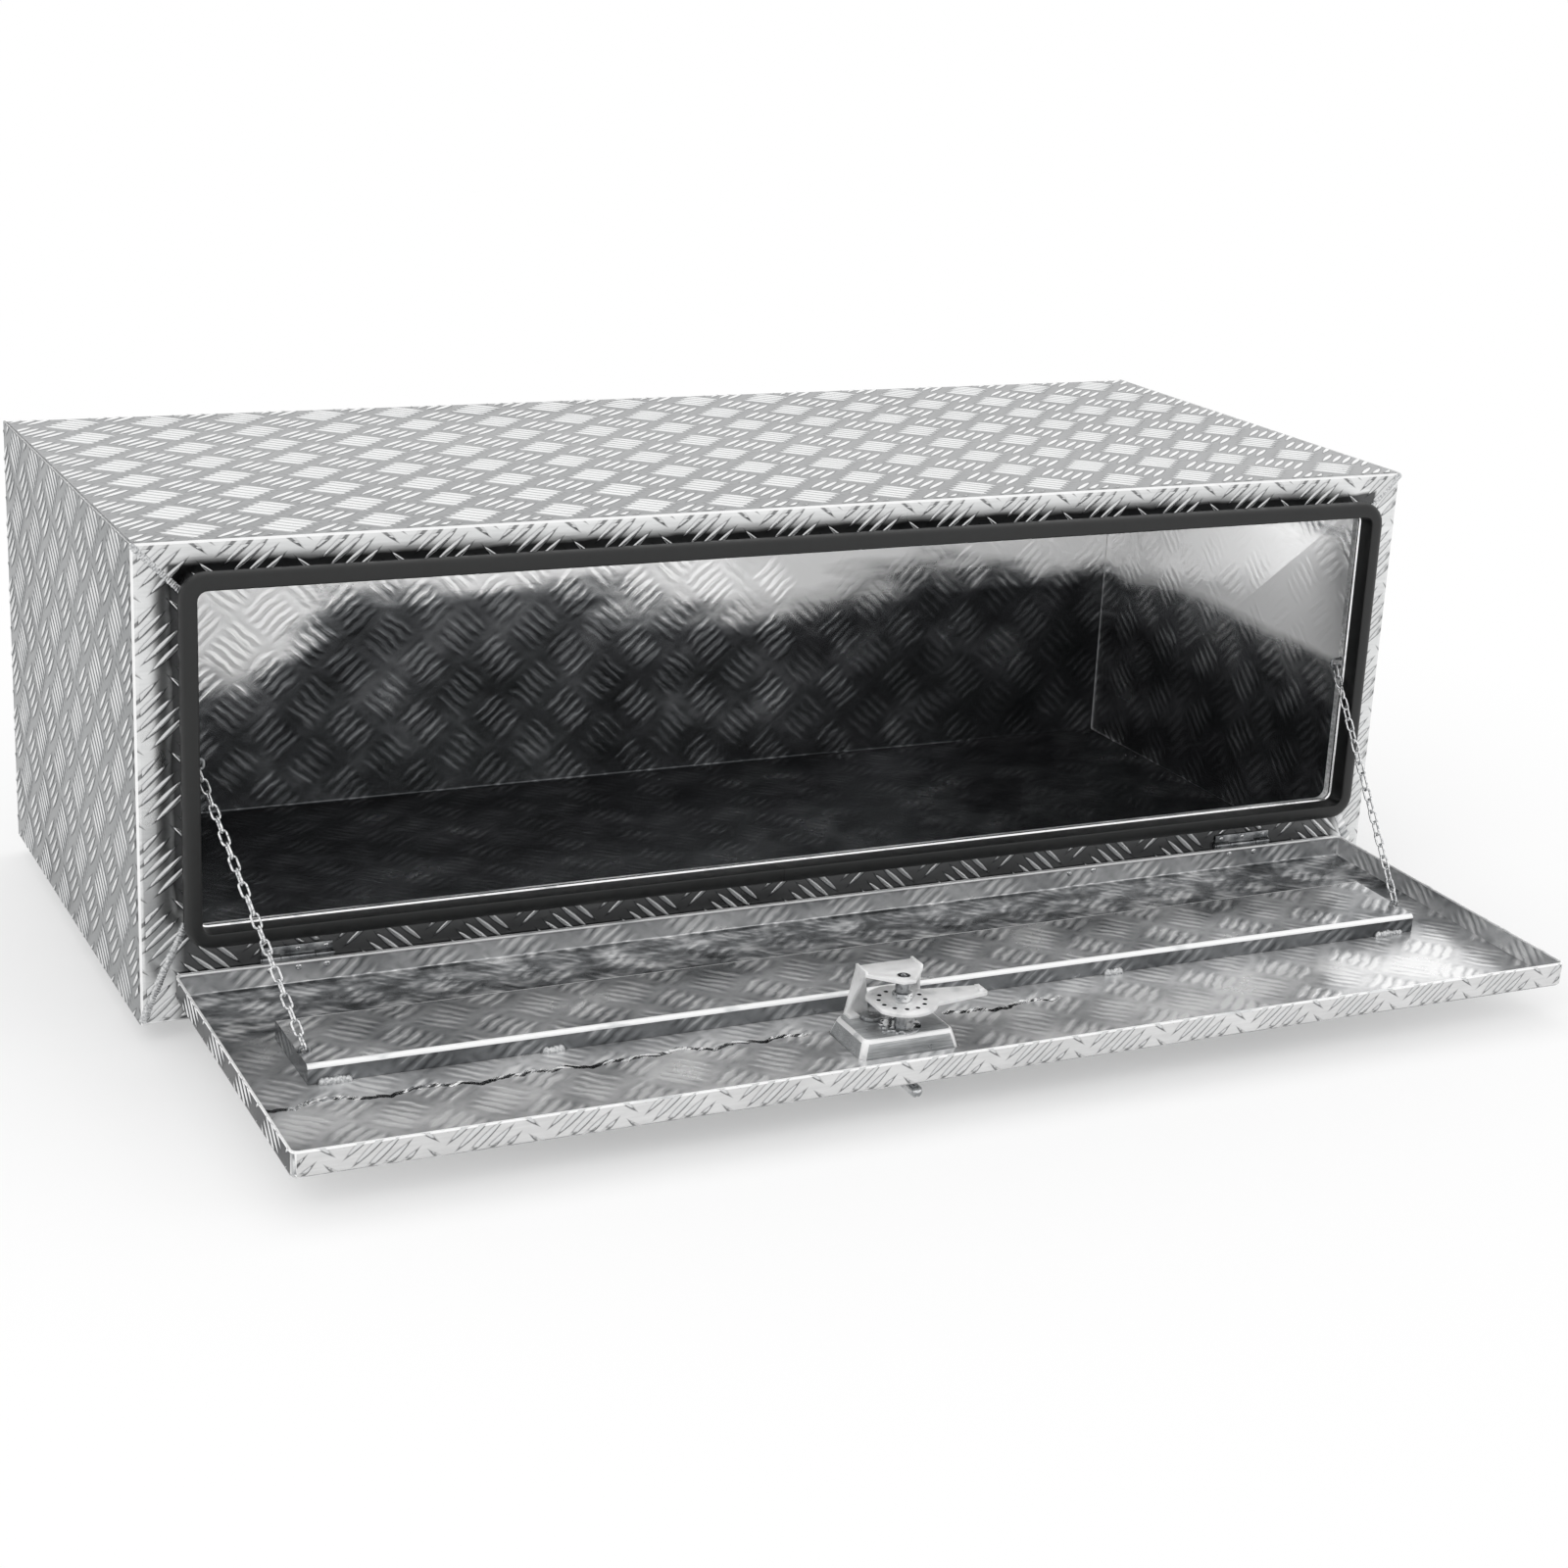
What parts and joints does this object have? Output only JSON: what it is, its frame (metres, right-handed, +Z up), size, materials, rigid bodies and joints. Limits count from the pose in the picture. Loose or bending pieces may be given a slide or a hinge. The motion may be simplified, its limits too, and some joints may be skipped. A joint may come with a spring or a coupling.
{
  "type": "underbody truck tool box",
  "caption": "Folded aluminium tread-plate tool box with a drop-down front door on hinges, stay chains, a rubber door seal and a turning latch with a hanging handle.",
  "frame": {"origin": "middle of the underside of the box body, which rests on a rack or a floor", "axes": "+X along the width, to the right of someone facing the door; +Y from the door to the back; +Z up"},
  "size_m": [1.219, 0.8522, 0.4232],
  "materials": {
    "tread_aluminium": "mill-bright aluminium tread plate with raised five-bar pattern outside and its dents inside",
    "bright_aluminium": "bright rolled aluminium sheet",
    "seal_rubber": "black extruded rubber with a soft sheen",
    "hinge_steel": "plain stainless steel",
    "chain_steel": "bright plated steel wire",
    "dish_steel": "pressed stainless steel with a satin brushed surface",
    "zinc_plate": "pale bright zinc-plated steel stampings",
    "latch_chrome": "polished chrome"
  },
  "bodies": {
    "box": {"body_wrap": "tread_aluminium", "end_panel_left": "tread_aluminium", "end_panel_right": "tread_aluminium", "opening_lip": "bright_aluminium", "door_seal": "seal_rubber", "hinge_frame_leaf_left": "hinge_steel", "hinge_frame_leaf_right": "hinge_steel", "hinge_pin_left": "hinge_steel", "hinge_pin_right": "hinge_steel", "chain_eye_lip_left": "chain_steel", "chain_eye_lip_right": "chain_steel"},
    "door": {"door_pan": "tread_aluminium", "door_stiffener": "bright_aluminium", "hinge_door_leaf_left": "hinge_steel", "hinge_door_leaf_right": "hinge_steel", "chain_eye_door_left": "chain_steel", "chain_eye_door_right": "chain_steel", "latch_dish": "dish_steel", "latch_gasket": "seal_rubber", "latch_bracket": "zinc_plate", "lock_barrel": "zinc_plate"},
    "latch_spindle": {"spindle": "hinge_steel", "index_disc": "latch_chrome", "cam_plate": "zinc_plate", "cam_nut": "latch_chrome", "cam_bush": "latch_chrome", "bracket_screw": "zinc_plate", "handle_pin": "hinge_steel"},
    "handle": {"pull_handle": "latch_chrome"},
    "lock": {"lock_plug": "latch_chrome"},
    "left_chain_upper": {"chain_upper_left": "chain_steel"},
    "right_chain_upper": {"chain_upper_right": "chain_steel"},
    "left_chain_lower": {"chain_lower_left": "chain_steel"},
    "right_chain_lower": {"chain_lower_right": "chain_steel"}
  },
  "joints": [
    {"name": "door_hinge", "type": "hinge", "parent": "box", "child": "door", "pos_m": [0, -0.257, 0.047], "axis": [-1, 0, 0], "range_deg": [0, 91.25]},
    {"name": "spindle_turn", "type": "hinge", "parent": "door", "child": "latch_spindle", "pos_m": [-0.049, -0.52427, 0.01516], "axis": [0, 0.0218, -0.9998], "range_deg": [0, 90]},
    {"name": "handle_fold", "type": "hinge", "parent": "latch_spindle", "child": "handle", "pos_m": [-0.049, -0.52438, 0.02016], "axis": [0, 0.9998, 0.0218], "range_deg": [0, 60]},
    {"name": "lock_turn", "type": "hinge", "parent": "door", "child": "lock", "pos_m": [-0.0645, -0.50177, 0.01565], "axis": [0, -0.0218, 0.9998], "range_deg": [0, 90]},
    {"name": "left_chain_top", "type": "hinge", "parent": "box", "child": "left_chain_upper", "pos_m": [-0.558, -0.252, 0.217], "axis": [0.8871, -0.0148, -0.4613], "range_deg": [0, 51.7]},
    {"name": "right_chain_top", "type": "hinge", "parent": "box", "child": "right_chain_upper", "pos_m": [0.558, -0.252, 0.217], "axis": [0.8871, 0.0148, 0.4613], "range_deg": [0, 51.7]},
    {"name": "left_chain_foot", "type": "hinge", "parent": "door", "child": "left_chain_lower", "pos_m": [-0.522, -0.4273, 0.04058], "axis": [-0.8865, 0.4624, 0.0187], "range_deg": [0, 50.8]},
    {"name": "right_chain_foot", "type": "hinge", "parent": "door", "child": "right_chain_lower", "pos_m": [0.522, -0.4273, 0.04058], "axis": [-0.8865, -0.4624, -0.0187], "range_deg": [0, 50.8]}
  ],
  "couplings": [
    {"joint": "left_chain_top", "follows": "door_hinge", "ratio": 0.56519},
    {"joint": "right_chain_top", "follows": "door_hinge", "ratio": 0.56519},
    {"joint": "left_chain_foot", "follows": "door_hinge", "ratio": 0.55472},
    {"joint": "right_chain_foot", "follows": "door_hinge", "ratio": 0.55472}
  ]
}
